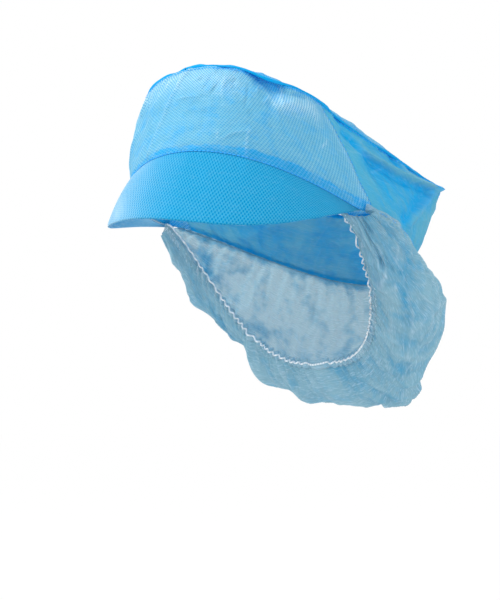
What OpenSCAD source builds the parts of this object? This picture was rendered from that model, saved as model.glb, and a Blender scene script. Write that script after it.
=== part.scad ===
// Soft non-woven peaked cap with a gathered hair pouch.
// Frame: origin on the line through the peak's two ends, at the middle of the head opening.
// +X wearer's left, -Y front, +Z up. Angle f runs round the head from the front centre.

/* [Crown] */
// Half width of the head opening
hem_half_width = 79; // [74:84]
// Head opening, origin to front centre
hem_front = 95; // [88:102]
// Head opening, origin to back centre
hem_back = 114; // [102:118]
// Height of the peak seam's arch at the front centre
arch_height = 33; // [26:40]
// Drop of the hem at the back centre
back_drop = 38; // [30:46]
// Height of the top seam at the front
top_front_height = 89; // [82:96]
// Height of the top seam at the back
top_back_height = 17; // [10:26]
// Half width of the top seam's outline
top_half_width = 67; // [62:72]
// Top seam, origin to front centre
top_front = 73; // [68:80]
// Top seam, origin to back centre
top_back = 135; // [126:142]
// Narrowing of the top panel towards its rear corners
top_taper = 0.17; // [0.1:0.4]
// Rise of the top panel's middle over its seam
top_dome = 7; // [3:10]
// Fullness of the crown wall between hem and top seam
wall_fullness = 3.5; // [2:6]
// Thickness of a crown panel, cloth with its small creases
panel_thickness = 0.9; // [0.6:1.5]
// Side seam's place on the hem, degrees round from the front
side_seam_hem = 97; // [90:104]
// Side seam's place on the top seam, degrees round from the front
side_seam_top = 74; // [66:82]

/* [Peak] */
// Peak's reach in front of the origin
peak_reach = 114; // [116:132]
// Peak's half width
peak_half_width = 91; // [84:94]
// Drop of the peak's edge at the front centre
peak_drop = 7; // [4:16]
// Drop of the peak's edge half way round
peak_side_drop = 6; // [4:12]
// Thickness of one peak layer
peak_layer = 0.6; // [0.4:0.8]
// Gap between peak layers
peak_gap = 0.2; // [0.1:0.4]
// Height of the peak's margin inside the crown
allowance_height = 4; // [3:6]
// Most the peak is bent down, degrees
peak_travel = 8; // [4:10]

/* [Snood] */
// Pouch fullness outwards
pouch_fullness = 33; // [18:34]
// Pouch sag below the straight line from hem to elastic
pouch_sag = 57; // [40:66]
// Nape point of the elastic, behind the origin
nape_back = 60; // [50:72]
// Nape point of the elastic, below the origin
nape_drop = 84; // [74:96]
// Thickness of the pouch cloth with its folds
pouch_thickness = 0.8; // [0.5:1.2]
// Radius of the elastic cord
elastic_radius = 0.7; // [0.5:1]
// Most the pouch is lifted, degrees
pouch_travel = 12; // [6:15]

/* [Hidden] */
thread_radius = 0.35;
gap = 0.3;              // clear space between neighbouring pieces
tube_sides = 6;
arch_power = 1.25;       // roundness of the peak seam's arch
front_power = 2.8;      // plan roundness of the top outline, front
top_slope_power = 0.8;  // the top falls fastest just behind the front
back_power = 5;         // plan roundness of the top outline, back
peak_end = 84;          // peak pieces stop this many degrees round
margin_lean = 0.5;      // margin leans in, so that it clears the wall while the peak bends
heading_inset = 2.6;    // pouch heading stands this far inside the hem
heading_height = 5;
temple_forward = -8;    // the elastic starts this far behind the origin
pouch_end = 0.94;       // the casing takes over from here to the elastic
steps_round = 40;
steps_up = 8;
// Sub-part to draw

crown_blue = [0.42, 0.74, 0.92];
peak_blue = [0.10, 0.62, 0.90];
web_blue = [0.62, 0.78, 0.87];
thread_blue = [0.10, 0.55, 0.90];
elastic_white = [0.88, 0.93, 0.96];

// ---- curves -------------------------------------------------------------------------------
function unit(v) = v / max(norm(v), 1e-9);
function mix(a, b, t) = a * (1 - t) + b * t;
function outward(f) = [sin(f), -cos(f), 0];

// lower edge of the crown: the peak seam's arch in front, the hem behind
function hem(f) = let (c = cos(f))
  [hem_half_width * sin(f), -(c > 0 ? hem_front : hem_back) * c,
   c > 0 ? arch_height * pow(c, arch_power) : back_drop * c];

function outline_power(f) = cos(f) > 0 ? front_power : back_power;
function outline_radius(f) = let (p = outline_power(f))
  pow(pow(abs(sin(f)), p) + pow(abs(cos(f)), p), -1 / p);
function top_height(y) = mix(top_front_height, top_back_height,
  pow(max(0, (y + top_front) / (top_front + top_back)), top_slope_power));
function narrowing(y) = 1 - top_taper * pow(max(0, y / top_back), 1.5);

// seam between the crown walls and the top panel, shrunk towards its middle by r
function top_outline(f, r = 1) =
  let (k = outline_radius(f) * r, y = -(cos(f) > 0 ? top_front : top_back) * k * cos(f),
       yr = y / max(r, 1e-6))
  [top_half_width * k * sin(f) * narrowing(yr), y, top_height(y)];

function wall(f, t) = mix(hem(f), top_outline(f), t) + outward(f) * wall_fullness * 4 * t * (1 - t);

// outer edge of the peak
function peak_edge(f) =
  let (c = max(0, cos(f)), full = 1 - pow(abs(f) / 90, 6))
  [mix(hem_half_width, peak_half_width, full) * sin(f), -peak_reach * c,
   -peak_drop * pow(c, 1.5) - peak_side_drop * pow(sin(2 * f), 2)];

// peak surface, s = 0 at the seam, 1 at the edge
function peak_bow(f, s) = 4 * s * (1 - s) * 3 * max(0, cos(f));
function peak_raw(f, s) = mix(hem(f) - [0, 0, gap + 0.2], peak_edge(f), s) + [0, 0, peak_bow(f, s)];
function peak_normal(f, s) =
  unit(cross(peak_raw(f + 0.5, s) - peak_raw(f - 0.5, s),
             peak_raw(f, min(1, s + 0.02)) - peak_raw(f, max(0, s - 0.02))));
function peak_at(f, s, depth) = peak_raw(f, s) + peak_normal(f, s) * depth;

// elastic edge of the pouch: from the temples round under the ears to the nape
function elastic_line(f) =
  let (w = -cos(f))
  [hem_half_width * (0.94 - 0.1 * w) * pow(max(0, sin(f)), 0.4),
   mix(temple_forward, nape_back, pow(w, 1.1)), -4 - (nape_drop - 4) * pow(w, 0.9)];
function elastic_side(f) = f <= 180 ? elastic_line(f)
  : let (p = elastic_line(360 - f)) [-p[0], p[1], p[2]];

function pouch_top(f) = hem(f) - outward(f) * heading_inset - [0, 0, heading_height * 0.5];
function pouch(f, t) =
  let (w = abs(sin(f - 90)), a = pouch_top(f), b = elastic_side(f))
  mix(a, b, t) + outward(f) * pouch_fullness * sin(180 * pow(t, 0.68)) * (0.25 + 0.75 * w)
  - [0, 0, pouch_sag * pow(w, 1.2) * sin(180 * pow(t, 1.35))];
function pouch_normal(f, t) =
  unit(cross(pouch(f, min(1, t + 0.02)) - pouch(f, max(0, t - 0.02)), pouch(f + 0.5, t) - pouch(f - 0.5, t)));
function pouch_at(f, t, depth) = pouch(f, t) - pouch_normal(f, t) * depth;

// ---- solids -------------------------------------------------------------------------------
// closed sheet between two grids of points, f(u, v, side) with u, v in 0..1 and side 0 or 1
module sheet(f, nu, nv) {
  row = nv + 1;
  half = (nu + 1) * row;
  function id(i, j, s) = s * half + i * row + j;
  skin = [for (i = [0:nu - 1], j = [0:nv - 1])
    each [[id(i, j, 0), id(i + 1, j, 0), id(i + 1, j + 1, 0)],
          [id(i, j, 0), id(i + 1, j + 1, 0), id(i, j + 1, 0)],
          [id(i, j, 1), id(i + 1, j + 1, 1), id(i + 1, j, 1)],
          [id(i, j, 1), id(i, j + 1, 1), id(i + 1, j + 1, 1)]]];
  ends = [for (j = [0:nv - 1])
    each [[id(0, j, 0), id(0, j + 1, 0), id(0, j + 1, 1)], [id(0, j, 0), id(0, j + 1, 1), id(0, j, 1)],
          [id(nu, j, 0), id(nu, j + 1, 1), id(nu, j + 1, 0)], [id(nu, j, 0), id(nu, j, 1), id(nu, j + 1, 1)]]];
  sides = [for (i = [0:nu - 1])
    each [[id(i, 0, 0), id(i + 1, 0, 1), id(i + 1, 0, 0)], [id(i, 0, 0), id(i, 0, 1), id(i + 1, 0, 1)],
          [id(i, nv, 0), id(i + 1, nv, 0), id(i + 1, nv, 1)], [id(i, nv, 0), id(i + 1, nv, 1), id(i, nv, 1)]]];
  polyhedron([for (s = [0:1], i = [0:nu], j = [0:nv]) f(i / nu, j / nv, s)],
             concat(skin, ends, sides));
}

// round cord along p(u), u in 0..1
module cord(p, radius, n, closed = false) {
  m = tube_sides;
  rings = closed ? n : n + 1;
  function at(i) = p(closed ? (i % n) / n : i / n);
  function run(i) = unit(closed ? at(i + 1) - at(i + n - 1) : at(min(n, i + 1)) - at(max(0, i - 1)));
  points = [for (i = [0:rings - 1]) let (t = run(i), a = unit(cross(t, abs(t[2]) > 0.8 ? [1, 0, 0] : [0, 0, 1])),
    b = cross(t, a)) for (k = [0:m - 1]) at(i) + radius * (a * cos(360 * k / m) + b * sin(360 * k / m))];
  walls = [for (i = [0:(closed ? n : n) - 1], k = [0:m - 1])
    let (i2 = (i + 1) % rings, k2 = (k + 1) % m)
    each [[i * m + k, i2 * m + k, i2 * m + k2], [i * m + k, i2 * m + k2, i * m + k2]]];
  caps = closed ? [] : [[for (k = [0:m - 1]) k], [for (k = [m - 1:-1:0]) (rings - 1) * m + k]];
  polyhedron(points, concat(walls, caps));
}

// ---- crown --------------------------------------------------------------------------------
function side_seam(t) = mix(side_seam_hem, side_seam_top, t);
seam_gap_angle = 0.25;

module crown_front_panel() color(crown_blue)
  sheet(function (u, v, s) let (f = mix(-1, 1, u) * (side_seam(v) - seam_gap_angle))
    wall(f, v) - outward(f) * panel_thickness * s, steps_round, steps_up);

module crown_back_panel() color(crown_blue)
  sheet(function (u, v, s) let (f = mix(side_seam(v) + seam_gap_angle, 360 - side_seam(v) - seam_gap_angle, u))
    wall(f, v) - outward(f) * panel_thickness * s, steps_round, steps_up);

module crown_top_panel() {
  n = 2 * steps_round;
  rings = 7;
  function lift(r, s) = [0, 0, gap + top_dome * (1 - r * r) + panel_thickness * (1 - s)];
  function id(i, k, s) = s * (n * rings + 1) + 1 + (k - 1) * n + (i % n);
  function hub(s) = s * (n * rings + 1);
  points = [for (s = [0:1]) each concat([[0, 0, top_height(0)] + lift(0, s)],
    [for (k = [1:rings], i = [0:n - 1]) let (r = k / rings) top_outline(360 * i / n, r) + lift(r, s)])];
  fans = [for (i = [0:n - 1]) each [[hub(0), id(i + 1, 1, 0), id(i, 1, 0)], [hub(1), id(i, 1, 1), id(i + 1, 1, 1)]]];
  bands = [for (k = [1:rings - 1], i = [0:n - 1])
    each [[id(i, k, 0), id(i + 1, k, 0), id(i + 1, k + 1, 0)], [id(i, k, 0), id(i + 1, k + 1, 0), id(i, k + 1, 0)],
          [id(i, k, 1), id(i + 1, k + 1, 1), id(i + 1, k, 1)], [id(i, k, 1), id(i, k + 1, 1), id(i + 1, k + 1, 1)]]];
  rim = [for (i = [0:n - 1]) each [[id(i, rings, 0), id(i + 1, rings, 0), id(i + 1, rings, 1)],
    [id(i, rings, 0), id(i + 1, rings, 1), id(i, rings, 1)]]];
  color(crown_blue) polyhedron(points, concat(fans, bands, rim));
}

thread_out = thread_radius + gap;
corner_slack = 0.5;     // the thread's straight steps cut the corners of the wall's
module top_seam_thread() color(thread_blue)
  cord(function (u) let (f = 360 * u) wall(f, 0.975) + outward(f) * (thread_out + corner_slack),
    thread_radius, 2 * steps_round, true);

module side_seam_thread(side) color(thread_blue)
  cord(function (u) let (v = mix(0.03, 0.95, u), f = side_seam(v), p = wall(f, v) + outward(f) * thread_out)
    [side * p[0], p[1], p[2]], thread_radius, 16);
module side_seam_thread_left() side_seam_thread(1);
module side_seam_thread_right() side_seam_thread(-1);

module peak_seam_thread() color(thread_blue)
  cord(function (u) let (f = mix(-86, 86, u)) wall(f, 0.02) + outward(f) * thread_out,
    thread_radius, steps_round);

module snood_seam_thread() color(thread_blue)
  cord(function (u) let (f = mix(side_seam_hem + 2, 358 - side_seam_hem, u)) wall(f, 0.035) + outward(f) * thread_out,
    thread_radius, steps_round);

// ---- peak ---------------------------------------------------------------------------------
module peak_sheet(depth, inset) sheet(function (u, v, s)
    peak_at(mix(-1, 1, u) * (peak_end - inset), mix(0.01, 1 - 0.01 * inset, v), depth + peak_layer * s),
  steps_round, steps_up);
layer_pitch = peak_layer + peak_gap;
module peak_upper_layer() color(peak_blue) peak_sheet(0, 0);
module peak_interlining() color(elastic_white) peak_sheet(layer_pitch, 2);
module peak_lower_layer() color(peak_blue) peak_sheet(2 * layer_pitch, 0);

module peak_seam_allowance() color(peak_blue)
  sheet(function (u, v, s) let (f = mix(-78, 78, u), h = allowance_height * v)
    hem(f) + [0, 0, h] - outward(f) * (panel_thickness + gap + margin_lean * h + peak_layer * s),
    steps_round, 2);

// ---- snood --------------------------------------------------------------------------------
pouch_from = 95;
function pouch_angle(u) = mix(pouch_from, 360 - pouch_from, u);
module snood_pouch() color(web_blue)
  sheet(function (u, v, s) let (f = pouch_angle(u), t = mix(0.005, pouch_end, v))
    pouch_at(f, t, pouch_thickness * s), steps_round, 14);

module snood_heading() color(web_blue)
  sheet(function (u, v, s) let (f = pouch_angle(u))
    pouch_top(f) + [0, 0, heading_height * v] - outward(f) * pouch_thickness * s, steps_round, 2);

module snood_edge_casing() color(web_blue)
  sheet(function (u, v, s) let (f = pouch_angle(u), t = mix(pouch_end + 0.01, 1, v))
    pouch_at(f, t, pouch_thickness * s), steps_round, 2);

module snood_elastic() color(elastic_white)
  cord(function (u) let (f = pouch_angle(u)) pouch_at(f, 0.97, pouch_thickness + gap + elastic_radius),
    elastic_radius, steps_round);

module snood_overlock_thread() color(elastic_white)
  cord(function (u) let (f = pouch_angle(u)) pouch_at(f, 0.97, -thread_out), thread_radius, steps_round);

crown_front_panel();
crown_back_panel();
crown_top_panel();
top_seam_thread();
side_seam_thread_left();
side_seam_thread_right();
peak_seam_thread();
snood_seam_thread();
peak_upper_layer();
peak_interlining();
peak_lower_layer();
peak_seam_allowance();
snood_pouch();
snood_heading();
snood_edge_casing();
snood_elastic();
snood_overlock_thread();
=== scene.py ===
"""Soft peaked snood cap: detailed cloth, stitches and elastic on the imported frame."""

import logging
import math
from dataclasses import dataclass
from enum import Enum
from typing import Sequence

import bmesh
import bpy
import numpy as np
from mathutils import Matrix, Vector


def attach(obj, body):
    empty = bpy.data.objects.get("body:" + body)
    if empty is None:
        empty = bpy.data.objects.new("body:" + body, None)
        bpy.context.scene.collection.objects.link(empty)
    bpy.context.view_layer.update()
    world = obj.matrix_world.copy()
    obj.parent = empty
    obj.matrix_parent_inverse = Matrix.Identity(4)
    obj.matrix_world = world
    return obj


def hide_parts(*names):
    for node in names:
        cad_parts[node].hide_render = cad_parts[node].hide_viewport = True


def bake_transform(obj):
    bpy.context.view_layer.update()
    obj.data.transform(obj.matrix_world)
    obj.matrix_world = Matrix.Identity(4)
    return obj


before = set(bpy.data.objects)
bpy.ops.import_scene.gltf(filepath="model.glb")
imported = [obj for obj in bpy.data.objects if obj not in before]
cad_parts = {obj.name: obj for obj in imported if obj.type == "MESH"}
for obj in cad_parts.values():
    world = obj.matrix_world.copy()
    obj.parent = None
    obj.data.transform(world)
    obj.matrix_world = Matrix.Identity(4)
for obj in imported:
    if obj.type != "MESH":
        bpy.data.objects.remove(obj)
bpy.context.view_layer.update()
MM = 0.001
LOG = logging.getLogger("cap")
WALL_RUN = 1.5  # millimetres of wall to a degree round the head
WALL_RISE = 72.0  # millimetres of wall from hem to top seam
POUCH_RUN = 1.35  # millimetres of pouch to a degree round the head
POUCH_DROP = 110.0  # millimetres of pouch from heading to elastic
Array = np.ndarray


# ---- small helpers ---------------------------------------------------------------------------
def linear(code: str) -> tuple[float, float, float, float]:
    """Turns an sRGB hex colour to the linear colour that shaders use.

    Args:
        code: six hex digits, with or without a leading hash.

    Returns:
        Linear red, green, blue and an alpha of 1.
    """
    digits = code.lstrip("#")
    channels = [int(digits[i : i + 2], 16) / 255 for i in (0, 2, 4)]
    return (*[c / 12.92 if c <= 0.04045 else ((c + 0.055) / 1.055) ** 2.4 for c in channels], 1.0)


def add_node(tree: bpy.types.NodeTree, kind: str, inputs: dict | None = None, **settings) -> bpy.types.Node:
    """Adds a node, sets its properties and fills its inputs.

    Args:
        tree: the node tree to add to.
        kind: the node's type name.
        inputs: input name or number to a value, or to an output socket to link from.
        settings: properties of the node itself.

    Returns:
        The new node.
    """
    node = tree.nodes.new(kind)
    for name, value in settings.items():
        setattr(node, name, value)
    for key, value in (inputs or {}).items():
        if isinstance(value, bpy.types.NodeSocket):
            tree.links.new(value, node.inputs[key])
        else:
            node.inputs[key].default_value = value
    return node


def sums(tree: bpy.types.NodeTree, operation: str, *values, clamp: bool = False) -> bpy.types.NodeSocket:
    """Result of a Math node whose inputs are the values in their order."""
    return add_node(
        tree, "ShaderNodeMath", dict(enumerate(values)), operation=operation, use_clamp=clamp
    ).outputs[0]


def remap(tree: bpy.types.NodeTree, *values, **settings) -> bpy.types.NodeSocket:
    """Result of a Map Range node: value, from low, from high, to low, to high."""
    return add_node(tree, "ShaderNodeMapRange", dict(enumerate(values)), **settings).outputs[0]


def tint(tree: bpy.types.NodeTree, share: bpy.types.NodeSocket, *colours) -> bpy.types.NodeSocket:
    """Mix of two colours, each a socket or an sRGB hex code; the second shows where share is 1."""
    first, second = (linear(c) if isinstance(c, str) else c for c in colours)
    return add_node(tree, "ShaderNodeMix", {0: share, 6: first, 7: second}, data_type="RGBA").outputs[2]


def new_material(name: str) -> tuple[bpy.types.Material, bpy.types.NodeTree]:
    """An empty material and its node tree."""
    material = bpy.data.materials.new(name)
    material.use_nodes = True
    material.node_tree.nodes.clear()
    return material, material.node_tree


def new_object(name: str, mesh: bpy.types.Mesh) -> bpy.types.Object:
    """An object of the mesh, linked into the scene."""
    obj = bpy.data.objects.new(name, mesh)
    bpy.context.scene.collection.objects.link(obj)
    return obj


def smooth(x: Array, low: float, high: float) -> Array:
    """Smooth step of x from 0 at low to 1 at high."""
    t = np.clip((x - low) / (high - low), 0.0, 1.0)
    return t * t * (3 - 2 * t)


def unit(v: Array) -> Array:
    """Rows of v at length one."""
    return v / np.maximum(np.linalg.norm(v, axis=-1, keepdims=True), 1e-9)


@dataclass(frozen=True)
class Crumple:
    """Seeded smooth noise in space, for the uneven lie of thin cloth."""

    seed: int
    cell: float

    def at(self, points: Array) -> Array:
        """Noise at each point.

        Args:
            points: positions in millimetres, last axis x, y, z.

        Returns:
            Values of about -1 to 1.
        """
        table = np.random.default_rng(self.seed).uniform(-1, 1, (32, 32, 32))
        q = points / self.cell
        base = np.floor(q).astype(int)
        w = q - base
        w = w * w * w * (w * (w * 6 - 15) + 10)
        total = np.zeros(points.shape[:-1])
        for corner in range(8):
            step = np.array([corner & 1, corner >> 1 & 1, corner >> 2 & 1])
            i = (base + step) % 32
            share = np.prod(np.where(step, w, 1 - w), axis=-1)
            total += share * table[i[..., 0], i[..., 1], i[..., 2]]
        return total


@dataclass(frozen=True)
class Fold:
    """A fold, dent or tuck in a sheet, along a line of (degrees round, share of height); deep is painted shade
    in dents and doubled cloth in tucks, and white is painted highlight.
    """

    line: tuple[tuple[float, float], ...]
    height: float
    width: float
    sharp: float = 0.0
    ends: float = 1.0
    # Painted shade in dents, doubled cloth in tucks; negative values paint highlight.
    deep: float = 0.0
    white: float = 0.0

    def shape(self, f: Array, t: Array) -> tuple[Array, Array]:
        """Height of the fold and its mask.

        Args:
            f: degrees round from the front centre.
            t: share of the sheet's height, 0 at its first edge.

        Returns:
            Outward millimetres, and 1 on the fold to 0 away from it.
        """
        p = np.stack([f * WALL_RUN, t * WALL_RISE], -1)
        corners = [np.array([a * WALL_RUN, b * WALL_RISE]) for a, b in self.line]
        near = np.full(f.shape, 1e9)
        along = np.zeros(f.shape)
        spans = max(1, len(corners) - 1)
        for k in range(spans):
            a, b = corners[k], corners[min(k + 1, len(corners) - 1)]
            d = b - a
            s = np.clip(((p - a) @ d) / max(float(d @ d), 1e-9), 0, 1)
            gap = np.linalg.norm(p - (a + s[..., None] * d), axis=-1)
            along = np.where(gap < near, (k + s) / spans, along)
            near = np.minimum(near, gap)
        soft = np.exp(-((near / self.width) ** 2))
        crisp = np.clip(1 - near / self.width, 0, 1)
        mask = (1 - (1 - self.ends) * along) * (crisp * self.sharp + soft * (1 - self.sharp))
        return self.height * mask, mask


@dataclass(frozen=True)
class Creasing:
    """Seeded handling creases of thin web: short, nearly straight ridges that lean mostly one way."""

    seed: int
    count: int
    span: tuple[float, float, float, float]
    length: tuple[float, float]
    height: tuple[float, float]
    width: tuple[float, float]
    lean: float
    spread: float
    whitening: float = 0.4

    def at(self, u: Array, v: Array) -> tuple[Array, Array]:
        """Height and crest whitening, partly painted highlight, of all creases at each place of the flat
        sheet.

        Args:
            u: millimetres along the sheet.
            v: millimetres across it.

        Returns:
            Outward millimetres, and whitening of 0 to about 0.6 on the crests of raised creases: stress
            whitening together with painted highlight.
        """
        dice = np.random.default_rng(self.seed)
        lift, white = np.zeros(u.shape), np.zeros(u.shape)
        for _ in range(self.count):
            cu, cv = dice.uniform(self.span[0], self.span[1]), dice.uniform(self.span[2], self.span[3])
            turn = math.radians(self.lean + dice.normal() * self.spread)
            length, width = dice.uniform(*self.length), dice.uniform(*self.width)
            height = dice.uniform(*self.height) * (1 if dice.random() < 0.65 else -1)
            bow, skew = dice.normal() * 0.006, dice.uniform(0.5, 1.6)
            du, dv = u - cu, v - cv
            along = du * math.cos(turn) + dv * math.sin(turn)
            across = dv * math.cos(turn) - du * math.sin(turn) - bow * along**2
            fade = np.clip(1 - (2 * along / length) ** 2, 0, None)
            side = np.where(across > 0, width * skew, width)
            lift += height * fade * np.exp(-np.abs(across / side) ** 1.4)
            # The crests of raised creases are painted paler: stress whitening together with painted highlight.
            white += (height > 0) * fade * np.exp(-((across / 0.8) ** 2)) * dice.random()
        return lift, np.clip(white * self.whitening, 0, 0.6)


# ---- the cap's curves ------------------------------------------------------------------------
@dataclass(frozen=True)
class CapForm:
    """Curves of the cap as worn, in millimetres. Angle f runs round the head from the front centre."""

    hem_half_width: float = 78.8
    hem_front: float = 95.2
    hem_back: float = 113.9
    arch_height: float = 33.3
    arch_power: float = 1.27
    arch_lean: float = 5.1
    back_drop: float = 38.0
    drop_power: float = 1.45
    top_front_height: float = 89.0
    top_back_height: float = 16.1
    top_half_width: float = 64.4
    top_front: float = 73.2
    top_back: float = 136.0
    top_taper: float = 0.17
    top_slope_power: float = 0.72
    top_lean: float = 6.2
    top_front_power: float = 2.83
    top_back_power: float = 5.5
    top_dome: float = 6.0
    seam_dips: tuple[tuple[float, float, float], ...] = (
        (47, 9, 2.6), (86, 12, 3.0), (104, 15, 4.2), (122, 10, 3.0),
        (-58, 12, 3.0), (-112, 22, 4.0), (178, 20, 2.0),
    )
    wall_fullness: float = 3.1
    side_seam_hem: float = 97.0
    side_seam_top: float = 74.0
    peak_reach: float = 111.5
    peak_half_width: float = 92.5
    peak_drop: float = 6.4
    peak_side_drop: float = 5.4
    peak_lean: float = -3.3
    heading_stand: float = 0.9
    heading_height: float = 4.2
    nape_back: float = 52.5
    nape_drop: float = 90.0
    temple_forward: float = -21.5
    temple_rise: float = 3.2
    pouch_fullness: float = 37.5
    pouch_sag: float = 51.5
    pouch_tuck: float = 28.0
    pouch_waist: float = 11.8

    @staticmethod
    def turn(f: Array) -> tuple[Array, Array]:
        """Sine and cosine of f in degrees."""
        return np.sin(np.radians(f)), np.cos(np.radians(f))

    def outward(self, f: Array) -> Array:
        """Level direction away from the head at f."""
        s, c = self.turn(f)
        return np.stack([s, -c, 0 * s], -1)

    def hem(self, f: Array) -> Array:
        """Lower edge of the crown: the peak seam's arch in front, the drop behind."""
        s, c = self.turn(f)
        front = self.arch_height * np.abs(c) ** self.arch_power + self.arch_lean * 2 * s * c
        back = -self.back_drop * np.abs(c) ** self.drop_power
        return np.stack(
            [
                self.hem_half_width * s,
                -np.where(c > 0, self.hem_front, self.hem_back) * c,
                np.where(c > 0, front, back),
            ],
            -1,
        )

    def top(self, f: Array, r: Array | float = 1.0) -> Array:
        """Seam line round the top at r 1, and the top panel's flat lie inside it for smaller r."""
        s, c = self.turn(f)
        power = np.where(c > 0, self.top_front_power, self.top_back_power)
        k = (np.abs(s) ** power + np.abs(c) ** power) ** (-1 / power)
        y_rim = -np.where(c > 0, self.top_front, self.top_back) * k * c
        y = y_rim * r
        narrow = 1 - self.top_taper * np.clip(y_rim / self.top_back, 0, None) ** 1.5
        x = self.top_half_width * k * s * r * narrow
        slope = np.clip(
            (y + self.top_front) / (self.top_front + self.top_back), 0, None
        ) ** self.top_slope_power
        fall = (self.top_back_height - self.top_front_height) * slope
        z = self.top_front_height + fall + self.top_lean * s * r
        turn = np.mod(np.asarray(f) + 180.0, 360.0) - 180.0
        dip = sum(
            d * np.exp(-(((turn - at + 180.0) % 360.0 - 180.0) / wide) ** 2) for at, wide, d in self.seam_dips
        )
        return np.stack([x, y, z + dip * (2.3 * r**3 * (1 - r**5) - r**8)], -1)

    def wall(self, f: Array, t: Array) -> Array:
        """Crown wall between the hem, t 0, and the top seam, t 1."""
        w = np.asarray(t)[..., None]
        straight = self.hem(f) * (1 - w) + self.top(f) * w
        return straight + self.outward(f) * self.wall_fullness * 4 * w * (1 - w)

    def side_seam(self, t: Array) -> Array:
        """Degrees round of the side seam at height t."""
        return self.side_seam_hem + (self.side_seam_top - self.side_seam_hem) * t

    def peak_edge(self, f: Array) -> Array:
        """Outer edge of the peak."""
        s, c = self.turn(f)
        c = np.clip(c, 0, None)
        full = 1 - np.abs(f / 90.0) ** 6
        x = (self.hem_half_width + (self.peak_half_width - self.hem_half_width) * full) * s
        z = -self.peak_drop * c**1.5 - self.peak_side_drop * (2 * s * c) ** 2 + self.peak_lean * 2 * s * c
        return np.stack([x, -self.peak_reach * c, z], -1)

    def peak(self, f: Array, s: Array) -> Array:
        """Peak's upper face from the seam, s 0, to its edge, s 1."""
        w = np.asarray(s)[..., None]
        bow = 4 * s * (1 - s) * 4.5 * np.clip(self.turn(f)[1], 0, None) ** 0.7
        p = self.hem(f) * (1 - w) + self.peak_edge(f) * w
        p[..., 2] += bow
        return p

    def elastic(self, f: Array) -> Array:
        """Elastic edge of the pouch, from one temple round the nape to the other."""
        g = np.where(f <= 180, f, 360 - f)
        s, c = self.turn(g)
        w = np.clip(-c, 0, 1)
        x = self.hem_half_width * (0.94 - 0.08 * w) * np.clip(s, 0, None) ** 0.67
        y = self.temple_forward + (self.nape_back - self.temple_forward) * w**0.64
        z = self.temple_rise - (self.nape_drop + self.temple_rise) * w
        return np.stack([np.where(f <= 180, x, -x), y, z], -1)

    def pouch(self, f: Array, t: Array) -> Array:
        """Hair pouch from its heading at the hem, t 0, to the elastic, t 1."""
        w = np.abs(np.sin(np.radians(f - 90)))[..., None]
        v = np.asarray(t)[..., None]
        start = self.hem(f) + self.outward(f) * self.heading_stand
        full = self.pouch_fullness * np.sin(np.pi * v**0.58) * (0.24 + 0.76 * w)
        sag = self.pouch_sag * w**0.52 * np.sin(np.pi * v**1.23)
        dent = np.zeros_like(v)
        for side in (1, -1):
            for depth, turn, place in ((self.pouch_tuck, 126.4, 0.0), (self.pouch_waist, 152.6, 0.46)):
                away = ((f - 180 - side * (turn - 180)) / 14.7)[..., None]
                dent += depth * np.exp(-(away**2) - ((v - place) / 0.18) ** 2) * np.sin(np.pi * v) ** 0.5
        chord = start * (1 - v) + self.elastic(f) * v
        return chord + self.outward(f) * (full - dent) - np.array([0, 0, 1]) * sag


# ---- finishes --------------------------------------------------------------------------------
class Bond(Enum):
    """How a non-woven web is bonded."""

    POINT = "point"
    PLAIN = "plain"


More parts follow.
